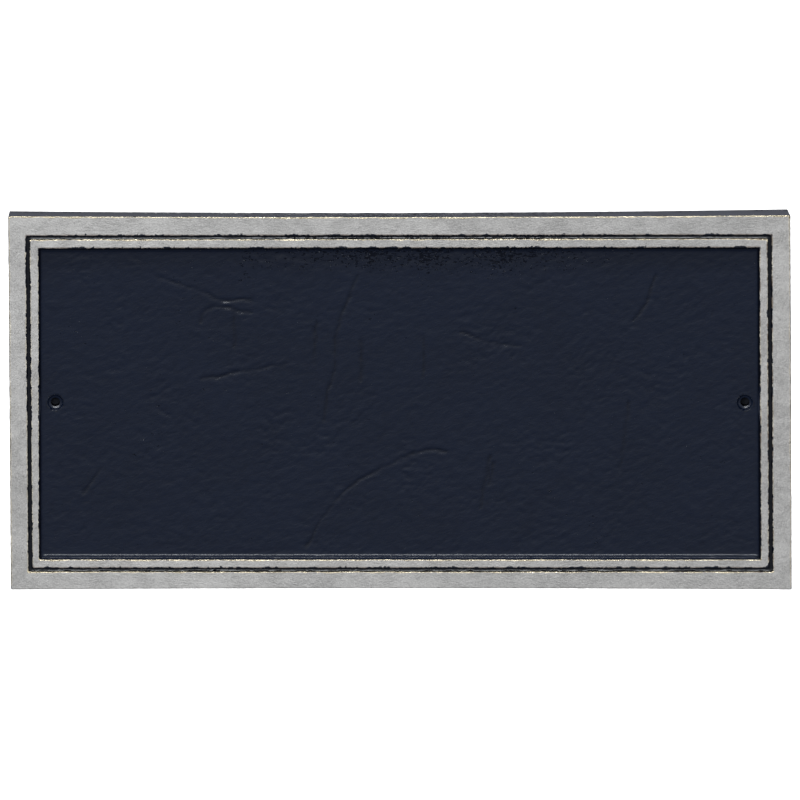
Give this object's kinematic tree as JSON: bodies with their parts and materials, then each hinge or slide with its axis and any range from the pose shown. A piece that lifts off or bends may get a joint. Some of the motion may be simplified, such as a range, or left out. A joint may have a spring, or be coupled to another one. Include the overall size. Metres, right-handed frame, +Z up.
{
  "type": "blank address plaque",
  "caption": "Rectangular cast wall plaque with a double raised border, a sunk textured field for house numbers and a countersunk screw hole at each end.",
  "frame": {"origin": "the middle of the flat back, where the plaque meets the wall", "axes": "+Z up, +X along the plaque's length to the right as seen from the front, +Y into the wall, so the front faces -Y"},
  "size_m": [0.4013, 0.009, 0.198],
  "materials": {
    "painted_casting": "gloss",
    "sanded_silver": "satin"
  },
  "bodies": {
    "root": {"plaque_casting": "painted_casting"}
  },
  "joints": []
}
